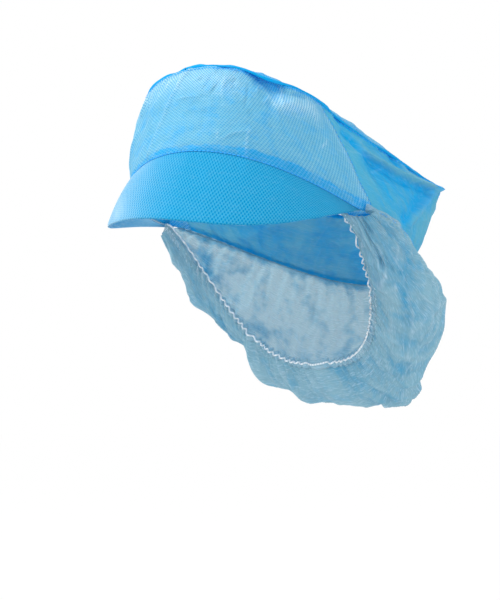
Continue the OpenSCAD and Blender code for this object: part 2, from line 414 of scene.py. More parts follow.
@dataclass(frozen=True)
class SpunWeb:
    """Spun-laid polypropylene non-woven, calendered; fibres scatter light, so it is half clear.

    Point bonding presses a lattice of small dots into the web; the ridges between them are paler and
    the dots, where fibres are melted together, look deeper. A whitening attribute pales creases, as bent
    polypropylene does, and also carries painted highlight on crease crests, lit folds and the lit side of the
    peak, where it paints the ridges paler still.
    """

    name: str
    pale: str
    deep: str
    dot: str
    bond: Bond
    cover: float
    dense_cover: float
    glow: float
    roughness: float
    pitch: float = 1.6
    lean: float = 38.0
    dot_strength: float = 0.5
    dot_depth: float = 0.12
    fibre: float = 1.1
    cloud: float = 0.3
    blotch: float = 11.0
    crease: float = 0.35
    streak: float = 0.3
    shine: float = 0.25
    knot: float = 0.2
    # Colour of pale fibres, crease whitening and painted highlight.
    ridge: str = "#d8f3fd"

    def make(self) -> bpy.types.Material:
        """Builds the material.

        Returns:
            A material that reads the cloth's own UV, in millimetres, its "layers" attribute, doubled cloth
            with painted shade, and its
            "whitened" attribute, crease whitening with painted highlight.
        """
        material, tree = new_material(self.name)
        uv = add_node(tree, "ShaderNodeUVMap", uv_map="cloth").outputs[0]
        layers = add_node(tree, "ShaderNodeAttribute", attribute_name="layers").outputs["Fac"]
        whitening_and_highlight = add_node(tree, "ShaderNodeAttribute", attribute_name="whitening_and_highlight").outputs["Fac"]
        blotch = add_node(
            tree, "ShaderNodeTexNoise", {
                "Vector": uv, "Scale": 1 / self.blotch, "Detail": 3.0, "Roughness": 0.6
            }
        ).outputs[0]
        fibres = self._fibres(tree, uv)
        dots = self._dots(tree, uv)
        cloudy = remap(tree, blotch, 0.32, 0.68, -self.cloud, self.cloud)
        depth = sums(tree, "ADD", layers, cloudy, clamp=True)
        ground = tint(tree, depth, self.pale, self.deep)
        pitted = tint(tree, sums(tree, "MULTIPLY", dots, self.dot_strength), ground, self.dot)
        streaks_and_rib_highlight = sums(tree, "MULTIPLY", fibres, self.streak)
        if self.bond is Bond.POINT:
            # Ribs between the dots are paler; where the whitening attribute carries painted highlight, as on
            # the lit side of the peak, they are painted paler still.
            ribs = remap(tree, dots, 0.0, 0.5, 1.0, 0.0)
            raised = sums(tree, "MULTIPLY_ADD", whitening_and_highlight, 1.3, self.knot)
            streaks_and_rib_highlight = sums(tree, "MULTIPLY_ADD", ribs, raised, streaks_and_rib_highlight)
        # Share of the pale colour: fibre streaks, crease whitening and painted highlight.
        pale_and_highlight = sums(tree, "MULTIPLY_ADD", whitening_and_highlight, 0.45, streaks_and_rib_highlight, clamp=True)
        colour = tint(tree, pale_and_highlight, pitted, self.ridge)
        normal = self._relief(tree, uv, fibres, dots)
        thick = remap(tree, depth, 0.0, 1.0, self.cover, self.dense_cover)
        veil = sums(tree, "MULTIPLY_ADD", pale_and_highlight, 0.3, thick, clamp=True)
        face = add_node(
            tree,
            "ShaderNodeBsdfPrincipled",
            {
                "Base Color": colour,
                "Roughness": self.roughness,
                "Specular IOR Level": self.shine,
                "IOR": 1.49,
                "Normal": normal,
            },
        ).outputs[0]
        through = add_node(
            tree, "ShaderNodeBsdfTranslucent", {"Color": colour, "Normal": normal}
        ).outputs[0]
        cloth = add_node(tree, "ShaderNodeMixShader", {0: self.glow, 1: face, 2: through}).outputs[0]
        clear = add_node(tree, "ShaderNodeBsdfTransparent").outputs[0]
        surface = add_node(tree, "ShaderNodeMixShader", {0: veil, 1: clear, 2: cloth}).outputs[0]
        add_node(tree, "ShaderNodeOutputMaterial", {"Surface": surface})
        return material

    def _fibres(self, tree: bpy.types.NodeTree, uv: bpy.types.NodeSocket) -> bpy.types.NodeSocket:
        """Two families of laid fibres at a slant to each other, 1 on a strand.

        Args:
            tree: the material's nodes.
            uv: cloth coordinates in millimetres.

        Returns:
            The mask's socket.
        """
        strands = []
        for angle in (25.0, -40.0):
            laid = add_node(
                tree,
                "ShaderNodeMapping",
                {
                    "Vector": uv,
                    "Rotation": (0, 0, math.radians(angle)),
                    "Scale": (0.12 / self.fibre, 1 / self.fibre, 1),
                },
            ).outputs[0]
            noise = add_node(
                tree, "ShaderNodeTexNoise", {"Vector": laid, "Scale": 1.0, "Detail": 2.0, "Distortion": 1.2}
            ).outputs[0]
            strands.append(remap(tree, noise, 0.54, 0.74, 0.0, 1.0))
        return sums(tree, "MAXIMUM", *strands)

    def _relief(
        self,
        tree: bpy.types.NodeTree,
        uv: bpy.types.NodeSocket,
        fibres: bpy.types.NodeSocket,
        dots: bpy.types.NodeSocket,
    ) -> bpy.types.NodeSocket:
        """Surface direction from crumpling, fibres and pressed dots, their heights in millimetres.

        Args:
            tree: the material's nodes.
            uv: cloth coordinates in millimetres.
            fibres: fibre mask.
            dots: dot mask.

        Returns:
            The normal's socket.
        """
        facets = add_node(
            tree,
            "ShaderNodeTexVoronoi",
            {"Vector": uv, "Scale": 1 / 13.0, "Detail": 1.0, "Smoothness": 0.3},
            feature="SMOOTH_F1",
        ).outputs[0]
        height = sums(tree, "MULTIPLY", facets, self.crease * 4.0)
        height = sums(tree, "MULTIPLY_ADD", fibres, 0.05, height)
        height = sums(tree, "MULTIPLY_ADD", dots, -self.dot_depth, height)
        return add_node(
            tree, "ShaderNodeBump", {"Height": height, "Strength": 1.0, "Distance": MM}
        ).outputs[0]

    def _dots(self, tree: bpy.types.NodeTree, uv: bpy.types.NodeSocket) -> bpy.types.NodeSocket:
        """Lattice of pressed dots, 1 in a dot and 0 between.

        Args:
            tree: the material's nodes.
            uv: cloth coordinates in millimetres.

        Returns:
            The mask's socket.
        """
        if self.bond is Bond.PLAIN:
            return add_node(tree, "ShaderNodeValue").outputs[0]
        turned = add_node(
            tree,
            "ShaderNodeMapping",
            {
                "Vector": uv,
                "Rotation": (0, 0, math.radians(self.lean)),
                "Scale": (1 / self.pitch, 1 / self.pitch, 0),
            },
        ).outputs[0]
        cell = add_node(tree, "ShaderNodeVectorMath", {0: turned}, operation="FRACTION").outputs[0]
        centred = add_node(
            tree, "ShaderNodeVectorMath", {0: cell, 1: (0.5, 0.5, 0)}, operation="SUBTRACT"
        ).outputs[0]
        away = add_node(tree, "ShaderNodeVectorMath", {0: centred}, operation="LENGTH").outputs["Value"]
        return remap(tree, away, 0.14, 0.5, 1.0, 0.0, interpolation_type="SMOOTHSTEP")


@dataclass(frozen=True)
class Yarn:
    """Spun thread or covered elastic: soft, dull, with a twist that shows as fine slant lines."""

    name: str
    colour: str
    shade: str
    twist: float = 0.6
    roughness: float = 0.7

    def make(self) -> bpy.types.Material:
        """Builds the material, which reads Object coordinates."""
        material, tree = new_material(self.name)
        place = add_node(tree, "ShaderNodeTexCoord").outputs["Object"]
        twist = add_node(
            tree, "ShaderNodeTexWave", {
                "Vector": place, "Scale": 1 / (self.twist * MM * 6.3), "Distortion": 2.0
            }
        ).outputs[1]
        colour = tint(tree, twist, self.shade, self.colour)
        normal = add_node(
            tree, "ShaderNodeBump", {"Height": twist, "Strength": 0.4, "Distance": 0.0001}
        ).outputs[0]
        surface = add_node(
            tree,
            "ShaderNodeBsdfPrincipled",
            {
                "Base Color": colour,
                "Roughness": self.roughness,
                "Sheen Weight": 0.3,
                "Normal": normal,
            },
        ).outputs[0]
        add_node(tree, "ShaderNodeOutputMaterial", {"Surface": surface})
        return material


CROWN_WEB = SpunWeb(
    "point bonded polypropylene crown web",
    "#82d2e8", "#06bcf4", "#10a8e6", Bond.POINT, 0.74, 0.98, 0.38, 0.42,
    shine=0.12, streak=0.16, knot=0.12, cloud=0.5, dot_strength=0.6,
)
BACK_WEB = SpunWeb(
    "plain calendered polypropylene back web",
    "#68c8e0", "#00bcf0", "#0a8fd8", Bond.PLAIN, 0.8, 0.98, 0.38, 0.5,
    blotch=16.0, cloud=0.3, streak=0.12, shine=0.1,
)
SEAM_FOLD = SpunWeb(
    "turned seam edge of the crown web, three layers deep",
    "#08ccf8", "#08c4f8", "#0a8fd8", Bond.PLAIN, 1.0, 1.0,
    0.45, 0.5, cloud=0.2, crease=0.2, streak=0.1, shine=0.1,
)
PEAK_WEB = SpunWeb(
    "point bonded polypropylene peak face",
    "#00a0d0", "#00acea", "#0078c4", Bond.POINT, 0.98, 1.0, 0.1, 0.3,
    dot_strength=0.5, dot_depth=0.2, cloud=0.12, crease=0.05, streak=0.03, shine=0.05, knot=0.06, pitch=1.5,
)
PEAK_LINING = SpunWeb(
    "smooth polypropylene peak underside",
    "#08a6e0", "#0498e4", "#0a8fd8", Bond.PLAIN, 0.98, 1.0, 0.15, 0.45,
    cloud=0.15, crease=0.05, shine=0.1,
)
STIFFENER = SpunWeb(
    "stiff felted interlining", "#d4ecf8", "#b8dff2", "#9fd0ea", Bond.PLAIN, 1.0, 1.0, 0.1, 0.7,
)
SNOOD_WEB = SpunWeb(
    "very light spun hair-net web", "#a0cedc", "#48b4da", "#8fc4e6", Bond.PLAIN, 0.56, 0.94, 0.4, 0.5,
    blotch=14.0, fibre=0.9, cloud=0.4, crease=0.6, streak=0.5, shine=0.3, ridge="#dceffa",
)
BLUE_THREAD = Yarn("spun polyester thread in blue", "#00b6ff", "#00a0f4")
WHITE_THREAD = Yarn("bulky white overlock thread", "#e6f3fa", "#c4dce8")
WHITE_ELASTIC = Yarn("covered elastic cord", "#f2f7fa", "#c6d6e0", twist=1.0)


# ---- mesh makers -----------------------------------------------------------------------------
def cloth_grid(
    name: str, points: Array, uv: Array, layers: Array, thickness: float, whitening_and_highlight: Array | None = None
) -> bpy.types.Object:
    """Makes a sheet of cloth from a grid, with its thickness closed round the edges.

    Args:
        name: the object's name.
        points: grid of positions in millimetres, shape (n, m, 3).
        uv: cloth coordinates in millimetres, shape (n, m, 2).
        layers: 0 for a single web to 1 for doubled cloth, shape (n, m).
        thickness: cloth thickness in millimetres.
        whitening_and_highlight: 0 for plain cloth to 1 for a sharp crease or a strong painted highlight, shape
            (n, m), or None for plain cloth all over.

    Returns:
        The finished object, its place in its mesh.
    """
    whitening_and_highlight = np.zeros_like(layers) if whitening_and_highlight is None else whitening_and_highlight
    n, m = points.shape[:2]
    ids = np.arange(n * m).reshape(n, m)
    a, b, c, d = ids[:-1, :-1], ids[1:, :-1], ids[1:, 1:], ids[:-1, 1:]
    du, dv = np.gradient(points, axis=0), np.gradient(points, axis=1)
    normals = unit(np.cross(du, dv))
    shell = np.concatenate([points.reshape(-1, 3), (points - normals * thickness).reshape(-1, 3)]) * MM
    size = n * m
    outer = np.stack([a, b, c, d], -1).reshape(-1, 4)
    inner = np.stack([d, c, b, a], -1).reshape(-1, 4) + size
    rim = np.concatenate([ids[:, 0], ids[-1, 1:], ids[-2::-1, -1], ids[0, -2:0:-1]])
    after = np.roll(rim, -1)
    edge = np.stack([after, rim, rim + size, after + size], -1)
    faces = np.concatenate([outer, inner, edge])
    mesh = bpy.data.meshes.new(name)
    mesh.from_pydata(shell.tolist(), [], faces.tolist())
    flat = np.concatenate([uv.reshape(-1, 2)] * 2)
    corner = np.empty(len(mesh.loops), np.int32)
    mesh.loops.foreach_get("vertex_index", corner)
    mesh.uv_layers.new(name="cloth").data.foreach_set("uv", flat[corner].astype(np.float32).ravel())
    for label, value in (("layers", layers), ("whitening_and_highlight", whitening_and_highlight)):
        mesh.attributes.new(label, "FLOAT", "POINT").data.foreach_set(
            "value", np.concatenate([value.ravel()] * 2).astype(np.float32)
        )
    mesh.polygons.foreach_set("use_smooth", [True] * len(mesh.polygons))
    mesh.validate()
    return new_object(name, mesh)


def grid_uv(points: Array) -> Array:
    """Cloth coordinates of a grid: mean length along each of its two ways, in millimetres."""
    along = np.linalg.norm(np.diff(points, axis=0), axis=-1).mean(axis=1)
    across = np.linalg.norm(np.diff(points, axis=1), axis=-1).mean(axis=0)
    u = np.concatenate([[0], np.cumsum(along)])
    v = np.concatenate([[0], np.cumsum(across)])
    return np.stack(np.meshgrid(u, v, indexing="ij"), -1)


def tube(
    name: str, path: Array, radius: float | Array, sides: int = 8, closed: bool = False
) -> bpy.types.Object:
    """Makes a round cord along a path.

    Args:
        name: the object's name.
        path: positions in millimetres, shape (n, 3).
        radius: one radius, or one for each point, in millimetres.
        sides: faces round the cord.
        closed: whether the path runs back to its start.

    Returns:
        The cord as a mesh object.
    """
    n = len(path)
    run = np.roll(path, -1, 0) - np.roll(path, 1, 0) if closed else np.gradient(path, axis=0)
    run = unit(run)
    up = np.tile(np.array([0.0, 0.0, 1.0]), (n, 1))
    up[np.abs(run[:, 2]) > 0.9] = [1.0, 0.0, 0.0]
    a = unit(np.cross(run, up))
    b = np.cross(run, a)
    turn = np.linspace(0, 2 * np.pi, sides, endpoint=False)
    r = np.broadcast_to(np.asarray(radius, float), (n,))[:, None, None]
    rings = path[:, None] + r * (
        a[:, None] * np.cos(turn)[None, :, None] + b[:, None] * np.sin(turn)[None, :, None]
    )
    ids = np.arange(n * sides).reshape(n, sides)
    nxt = np.roll(ids, -1, 0) if closed else ids[1:]
    cur = ids if closed else ids[:-1]
    faces = np.stack([cur, np.roll(cur, -1, 1), np.roll(nxt, -1, 1), nxt], -1).reshape(-1, 4).tolist()
    if not closed:
        faces += [ids[0, ::-1].tolist(), ids[-1].tolist()]
    mesh = bpy.data.meshes.new(name)
    mesh.from_pydata((rings.reshape(-1, 3) * MM).tolist(), [], faces)
    bm = bmesh.new()
    bm.from_mesh(mesh)
    bmesh.ops.recalc_face_normals(bm, faces=bm.faces)
    bm.to_mesh(mesh)
    bm.free()
    mesh.polygons.foreach_set("use_smooth", [True] * len(mesh.polygons))
    return new_object(name, mesh)


def sockets(tree: bpy.types.NodeTree) -> dict[str, str]:
    """Identifier of each of a tree's inputs, by its name."""
    made = [i for i in tree.interface.items_tree if i.item_type == "SOCKET"]
    return {i.name: i.identifier for i in made if i.in_out == "INPUT"}


@dataclass
class StitchRow:
    """A row of stitches along a path, made with Geometry Nodes."""

    name: str
    length: float = 2.2
    gap: float = 0.7
    radius: float = 0.28
    slant: float = 0.0

    def tree(self, material: bpy.types.Material) -> bpy.types.NodeTree:
        """Builds the node tree: points along the path, one bead of thread on each.

        Args:
            material: the thread's finish.

        Returns:
            A tree with the inputs Pitch, Length, Radius, Slant and Seed.
        """
        tree = bpy.data.node_groups.new(f"{self.name}_tree", "GeometryNodeTree")
        face = tree.interface
        face.new_socket("Geometry", in_out="INPUT", socket_type="NodeSocketGeometry")
        for label in ("Pitch", "Length", "Radius", "Slant"):
            face.new_socket(label, in_out="INPUT", socket_type="NodeSocketFloat")
        face.new_socket("Seed", in_out="INPUT", socket_type="NodeSocketInt")
        face.new_socket("Geometry", in_out="OUTPUT", socket_type="NodeSocketGeometry")
        given = add_node(tree, "NodeGroupInput").outputs
        curve = add_node(tree, "GeometryNodeMeshToCurve", {"Mesh": given["Geometry"]}).outputs[0]
        points = add_node(
            tree, "GeometryNodeCurveToPoints", {"Curve": curve, "Length": given["Pitch"]}, mode="LENGTH"
        ).outputs
        bead = add_node(
            tree, "GeometryNodeMeshUVSphere", {"Segments": 6, "Rings": 5, "Radius": 1.0}
        ).outputs[0]
        wobble = add_node(
            tree, "FunctionNodeRandomValue", {
                "Min": (-0.06, -0.06, -0.06), "Max": (0.06, 0.06, 0.06), "Seed": given["Seed"]
            },
            data_type="FLOAT_VECTOR",
        ).outputs[0]
        tilt = add_node(tree, "ShaderNodeCombineXYZ", {"Y": given["Slant"]}).outputs[0]
        turn = add_node(tree, "ShaderNodeVectorMath", {0: wobble, 1: tilt}, operation="ADD").outputs[0]
        half = sums(tree, "MULTIPLY", given["Length"], 0.5)
        size = add_node(
            tree, "ShaderNodeCombineXYZ", {"X": given["Radius"], "Y": given["Radius"], "Z": half}
        ).outputs[0]
        facing = add_node(
            tree, "FunctionNodeRotateRotation", {0: points["Rotation"], 1: turn}, rotation_space="LOCAL"
        ).outputs[0]
        placed = add_node(
            tree,
            "GeometryNodeInstanceOnPoints",
            {"Points": points["Points"], "Instance": bead, "Rotation": facing, "Scale": size},
        ).outputs[0]
        real = add_node(tree, "GeometryNodeRealizeInstances", {0: placed}).outputs[0]
        dressed = add_node(
            tree, "GeometryNodeSetMaterial", {"Geometry": real, "Material": material}
        ).outputs[0]
        add_node(tree, "NodeGroupOutput", {0: dressed})
        return tree

    def make(self, path: Array, material: bpy.types.Material, closed: bool = False) -> bpy.types.Object:
        """Sews the row.

        Args:
            path: the seam's positions in millimetres.
            material: the thread's finish.
            closed: whether the seam runs back to its start.

        Returns:
            The stitches as one plain mesh.
        """
        mesh = bpy.data.meshes.new(f"{self.name}_path")
        edges = [(i, i + 1) for i in range(len(path) - 1)] + ([(len(path) - 1, 0)] if closed else [])
        mesh.from_pydata((path * MM).tolist(), edges, [])
        line = new_object(f"{self.name}_line", mesh)
        tree = self.tree(material)
        modifier = line.modifiers.new("stitches", "NODES")
        modifier.node_group = tree
        ids = sockets(tree)
        values = {
            "Pitch": (self.length + self.gap) * MM,
            "Length": self.length * MM,
            "Radius": self.radius * MM,
            "Slant": self.slant,
            "Seed": 7,
        }
        for label, value in values.items():
            modifier[ids[label]] = value
        bpy.context.view_layer.update()
        graph = bpy.context.evaluated_depsgraph_get()
        made = bpy.data.meshes.new_from_object(line.evaluated_get(graph))
        made.polygons.foreach_set("use_smooth", [True] * len(made.polygons))
        bpy.data.objects.remove(line)
        return new_object(self.name, made)


def dress(obj: bpy.types.Object, material: bpy.types.Material, node: str = "") -> None:
    """Gives a piece its finish and hides the CAD node it stands for.

    Args:
        obj: the piece.
        material: its finish.
        node: the soft CAD node it replaces, if it does.
    """
    obj.data.materials.clear()
    obj.data.materials.append(material)
    if node:
        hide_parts(node)
    LOG.info("made %s: %d faces", obj.name, len(obj.data.polygons))


@dataclass(frozen=True)
class Cut:
    """Flat size a sheet is cut to, in millimetres and square centimetres.
    """

    width: float
    length: float
    area: float

    def gathered(self, fullness: float) -> "Cut":
        """The cut before its length is drawn up by a gather of this fullness."""
        return Cut(self.width, self.length * fullness, self.area * fullness)


def declare(piece: bpy.types.Object, cut: Cut) -> None:
    """Logs the flat size a piece was cut to.

    Args:
        piece: the cloth's object.
        cut: its flat size.
    """
    LOG.info("%s is cut %.0f by %.0f mm, %.0f cm2", piece.name, cut.width, cut.length, cut.area)


# ---- crown -----------------------------------------------------------------------------------
@dataclass
class Crown:
    """Walls, top and seams of the crown."""

    form: CapForm
    front_cut: Cut = Cut(80, 312, 144.4)
    back_cut: Cut = Cut(81, 408, 192.7)
    top_cut: Cut = Cut(135, 220, 245.7)
    thickness: float = 0.3
    columns: int = 330
    rows: int = 84
    seam_radius: float = 0.9
    # Columns: line, height, width, sharp, ends, deep, white. Deep is painted shade in dents and valleys and
    # doubled cloth in tucks; negative deep and white are painted highlight on raised folds.
    folds: tuple[Fold, ...] = (
        Fold(((24, 1.0), (32, 0.93), (38, 0.84)), -1.8, 3.0, 0.5, 0.4, 0.35),
        Fold(((40, 1.0), (50, 0.86), (47, 0.68)), -5.0, 7.5, 0.2, 0.4, 0.75),
        Fold(((46, 1.0), (50, 0.93)), -1.0, 4.5, 0.2, 0.8, 0.95),
        Fold(((51, 0.98), (56, 0.86)), -2.6, 3.0, 0.7, 0.3, 0.5),
        Fold(((58, 0.9), (66, 0.93)), -1.4, 2.0, 0.8, 0.6, 0.4),
        Fold(((53, 0.76), (66, 0.82)), 3.6, 8.0, 0.1, 0.8, -0.3, 0.36),
        Fold(((3, 1.0), (-4, 0.6), (-12, 0.09)), 1.3, 3.0, 0.6, 0.7, 0.0, 0.12),
        Fold(((-34, 0.94), (0, 0.9), (28, 0.84)), 0.8, 13.0, 0.0, 1.0, -0.3, 0.22),
        Fold(((-48, 0.9), (-40, 0.55)), 1.6, 12.0, 0.0, 0.6, 0.0, 0.15),
        Fold(((6, 0.45), (30, 0.35)), -1.5, 18.0, 0.0, 0.8, -0.2),
        Fold(((83, 1.0), (87, 0.88)), -2.6, 4.0, 0.6, 0.2, 0.7),
        Fold(((94, 0.74), (108, 0.77), (132, 0.98)), 4.4, 4.0, 0.7, 0.9, -0.5, 0.2),
        Fold(((86, 0.8), (100, 0.67), (114, 0.7), (130, 0.88)), -2.6, 4.5, 0.3, 0.9, 0.9),
        Fold(((88, 0.97), (98, 0.9), (112, 0.93)), -2.0, 4.0, 0.5, 0.7, 0.4),
        Fold(((113, 1.0), (117, 0.9), (128, 0.93)), 1.8, 2.6, 0.7, 1.0, 0.0, 0.3),
        Fold(((112, 0.98), (114, 0.88)), -1.6, 3.4, 0.2, 1.0, 0.9),
        Fold(((100, 0.56), (116, 0.55), (126, 0.7)), -3.0, 10.0, 0.1, 0.8, 0.55),
        Fold(((106, 0.3), (116, 0.22)), -1.0, 11.0, 0.0, 0.8, 0.35),
        Fold(((131, 0.86), (123, 0.52), (116, 0.2)), -1.8, 4.5, 0.2, 0.8, 0.85),
        Fold(((134, 1.0), (127, 0.6), (120, 0.2)), 3.2, 3.6, 0.8, 0.7, -0.3, 0.25),
        Fold(((142, 0.8), (133, 0.3)), -1.2, 10.0, 0.1, 0.8, -0.3, 0.05),
        Fold(((228, 1.0), (236, 0.55), (242, 0.2)), 3.0, 5.0, 0.7, 0.5, 0.0, 0.3),
        Fold(((180, 0.95), (176, 0.4)), -2.4, 12.0, 0.2, 0.7, 0.4),
        Fold(((260, 0.8), (248, 0.7), (232, 0.95)), 2.8, 6.0, 0.5, 0.8, 0.0, 0.25),
        Fold(((262, 0.5), (244, 0.45)), -2.4, 12.0, 0.0, 0.8, 0.6),
        Fold(((296, 0.95), (303, 0.6)), -2.6, 8.0, 0.3, 0.4, 0.4),
    )
    creases: tuple[Creasing, ...] = (
        Creasing(4, 130, (-270, 270, 0, 72), (10, 34), (0.25, 1.1), (1.2, 3.2), 55, 38, 0.3),
        Creasing(6, 110, (-270, 270, 52, 74), (8, 20), (0.4, 1.6), (1.0, 2.4), 80, 22, 0.38),
    )

    def lie(self, f: Array, t: Array) -> tuple[Array, Array, Array]:
        """Wall position with its folds, puckers and unevenness.

        Args:
            f: degrees round.
            t: share of the height.

        Returns:
            Positions in millimetres; how much deeper the cloth looks, which is painted shade in dents and
            doubled cloth in tucks, lighter on raised folds; and how much paler it is, which is crease
            whitening with painted highlight on raised folds and crease crests.
        """
        base = self.form.wall(f, t)
        turn = np.mod(f, 360.0)
        near = np.where(turn > 270, turn - 360, turn)
        held = np.sin(np.pi * np.clip(t, 0, 1)) ** 0.5
        lift, deep, white = np.zeros(base.shape[:-1]), np.zeros(base.shape[:-1]), np.zeros(base.shape[:-1])
        for fold in self.folds:
            raised, mask = fold.shape(near, t)
            lift += raised
            # Painted shade in dents and tucks, painted highlight on raised folds.
            deep += mask * fold.deep
            white += mask * fold.white
        lift += Crumple(3, 46.0).at(base) * 2.6 * held + Crumple(5, 19.0).at(base) * 0.9 * held
        level = np.where(turn > 180, turn - 360, turn) * WALL_RUN
        for crease in self.creases:
            raised, pale = crease.at(level, t * WALL_RISE)
            lift += raised * held
            white += pale * held
        below_top = (1 - t) * 70
        pucker = Crumple(8, 5.5).at(
            base * np.array([1, 1, 0.25])
        ) * np.exp(-below_top / 9) * smooth(below_top, 0, 2.5)
        above_hem = t * 70
        pull = Crumple(9, 6.5).at(
            base * np.array([1, 1, 0.2])
        ) * np.exp(-above_hem / 8) * smooth(above_hem, 0, 3)
        lift += pucker * 1.5 + pull * 0.7
        return base + self.form.outward(f) * lift[..., None], deep, np.clip(white, 0, 0.8)

    def layer_map(self, f: Array, t: Array, front: bool) -> Array:
        """How doubled the cloth looks, from the margins that lie behind it."""
        height = np.linalg.norm(
            self.form.wall(f, np.ones_like(t)) - self.form.wall(f, np.zeros_like(t)), axis=-1
        )
        low, high = t * height, (1 - t) * height
        wall = self.form.wall(f, t)
        ragged = Crumple(21, 2.2).at(wall) * 0.9
        margin = 4.2 + 2.8 * smooth(f, 10, 60) if front else 2.2 + 0 * f
        top = 2.2 + 1.6 * Crumple(22, 14.0).at(wall)
        bottom = (1 - smooth(low + ragged, margin - 0.8, margin + 0.8)) * (1.0 if front else 0.5)
        bottom *= 1 - 0.3 * smooth(-f, -25, 10) * smooth(np.abs(Crumple(23, 3.0).at(wall)), 0.1, 0.4)
        return bottom + 0.9 * (1 - smooth(high + ragged, top - 0.8, top + 0.8))

    def build(self) -> None:
        """Makes the crown's pieces; the back panel, the top and some seams go on the crown body, the rest stay
        in the world.
        """
        crown_web, back_web, thread = CROWN_WEB.make(), BACK_WEB.make(), BLUE_THREAD.make()
        v = np.linspace(0, 1, self.rows)
        u = np.linspace(-1, 1, self.columns)
        f = u[:, None] * self.form.side_seam(v)[None, :]
        t = np.broadcast_to(v, f.shape)
        front, deep, white = self.lie(f, t)
        # Margins behind the web, plus the painted shade and highlight of the folds.
        layers = np.clip(self.layer_map(f, t, True) + deep, 0, 1)
        from_seam = (1 - np.abs(u[:, None])) * self.form.side_seam(v)[None] * 1.45
        white = np.clip(white + 0.13 * np.exp(-(((from_seam - 2.0) / 2.4) ** 2)), 0, 0.8)
        piece = cloth_grid("crown_front", front, grid_uv(front), layers, self.thickness, white)
        dress(piece, crown_web, "crown_front_panel")
        declare(piece, self.front_cut)
        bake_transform(piece)

        u = np.linspace(0, 1, self.columns + 90)
        side = self.form.side_seam(v)[None, :]
        f = side + u[:, None] * (360 - 2 * side)
        t = np.broadcast_to(v, f.shape)
        back, deep, white = self.lie(f, t)
        # Margins behind the web, plus the painted shade and highlight of the folds.
        layers = np.clip(self.layer_map(f, t, False) + deep + 0.22, 0, 1)
        piece = cloth_grid("crown_back", back, grid_uv(back), layers, self.thickness, white)
        dress(piece, back_web, "crown_back_panel")
        declare(piece, self.back_cut)
        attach(piece, "crown")
        self.top(crown_web)
        self.seams(thread)

    def top(self, web: bpy.types.Material) -> None:
        """Makes the top panel as one sheet that domes over its seam.

        Args:
            web: the cloth's finish.
        """
        n = 170
        a, b = np.meshgrid(np.linspace(-1, 1, n), np.linspace(-1, 1, n), indexing="ij")
        x, y = a * np.sqrt(1 - b * b / 2), b * np.sqrt(1 - a * a / 2)
        r = np.hypot(x, y)
        f = np.degrees(np.arctan2(x, -y))
        base = self.form.top(f, r)
        base[..., 2] += self.form.top_dome * (1 - r**2.2)
        held = smooth(1 - r, 0, 0.12)
        lift = Crumple(31, 44.0).at(base) * 3.4 * held + Crumple(32, 17.0).at(base) * 1.1 * held
        raised, white = Creasing(
            33, 70, (-80, 80, -90, 150), (18, 60), (0.4, 1.6), (1.8, 5.0), 70, 45, 0.12
        ).at(
            base[..., 0], base[..., 1]
        )
        lift += raised * held
        lift += Crumple(34, 5.5).at(base) * 1.1 * np.exp(-(1 - r) * 60 / 7) * smooth(1 - r, 0, 0.03)
        base[..., 2] += lift
        uv = base[..., :2] * np.array([1.0, 1.06])
        ragged = Crumple(35, 2.2).at(base) * 0.02
        layers = 0.8 * (1 - smooth(1 - r + ragged, 0.03, 0.06))
        # Painted shade: a deeper patch towards the rim around 44 degrees, beside the dent in the front wall.
        layers = np.clip(layers + 0.9 * np.exp(-(((f - 44) / 22) ** 2)) * smooth(r, 0.66, 0.84), 0, 1)
        points = base[:, ::-1]
        piece = cloth_grid(
            "crown_top", points, uv[:, ::-1], layers[:, ::-1], self.thickness, white[:, ::-1]
        )
        dress(piece, web, "crown_top_panel")
        declare(piece, self.top_cut)
        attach(piece, "crown")

    @staticmethod
    def sew(
        stitches: StitchRow, path: Array, thread: bpy.types.Material, node: str, closed: bool = False
    ) -> bpy.types.Object:
        """Sews one row in blue thread in place of a CAD node, and gives the row back."""
        row = stitches.make(path, thread, closed)
        dress(row, thread, node)
        return row

    def seams(self, thread: bpy.types.Material) -> None:
        """Makes the rolled top seam and the rows of stitches.

        Args:
            thread: the thread's finish.
        """
        f = np.linspace(0, 360, 360, endpoint=False)
        rim = self.form.top(f) + self.form.outward(f) * 0.2
        wave = 1.6 * Crumple(41, 9.0).at(rim)
        rim[:, 2] += 0.3 * wave
        roll = tube("crown_top_seam_fold", rim, self.seam_radius * (1 + 0.25 * wave), 8, closed=True)
        mesh = roll.data
        mesh.attributes.new("layers", "FLOAT", "POINT").data.foreach_set(
            "value", [1.0] * len(mesh.vertices)
        )
        run = np.zeros(len(mesh.loops) * 2, np.float32)
        corner = np.empty(len(mesh.loops), np.int32)
        mesh.loops.foreach_get("vertex_index", corner)
        run[0::2], run[1::2] = corner // 8 * 1.75, corner % 8 * 0.7
        mesh.uv_layers.new(name="cloth").data.foreach_set("uv", run)
        dress(roll, SEAM_FOLD.make())
        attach(roll, "crown")
        path = self.lie(f, np.full_like(f, 0.972))[0] + self.form.outward(f) * 0.25
        row = self.sew(StitchRow("top_seam_stitches"), path, thread, "top_seam_thread", closed=True)
        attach(row, "crown")
        t = np.linspace(0.03, 0.96, 60)
        for side, node in ((1, "left"), (-1, "right")):
            f = side * self.form.side_seam(t)
            path = self.lie(f, t)[0] + self.form.outward(f) * 0.2
            row = self.sew(
                StitchRow(f"side_seam_stitches_{node}", radius=0.18), path, thread, f"side_seam_thread_{node}"
            )
            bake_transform(row)
        f = np.linspace(-88, 88, 240)
        path = self.form.hem(f) + self.form.outward(f) * 0.35 + np.array([0, 0, 0.25])
        stitches = StitchRow("peak_seam_stitches", radius=0.34, length=2.4, gap=0.3)
        row = self.sew(stitches, path, thread, "peak_seam_thread")
        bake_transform(row)
        f = np.linspace(self.form.side_seam_hem + 1, 359 - self.form.side_seam_hem, 220)
        path = self.lie(f, np.full_like(f, 0.03))[0] + self.form.outward(f) * (
            self.form.heading_stand + 1.3
        )
        row = self.sew(StitchRow("snood_seam_stitches", radius=0.2), path, thread, "snood_seam_thread")
        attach(row, "crown")


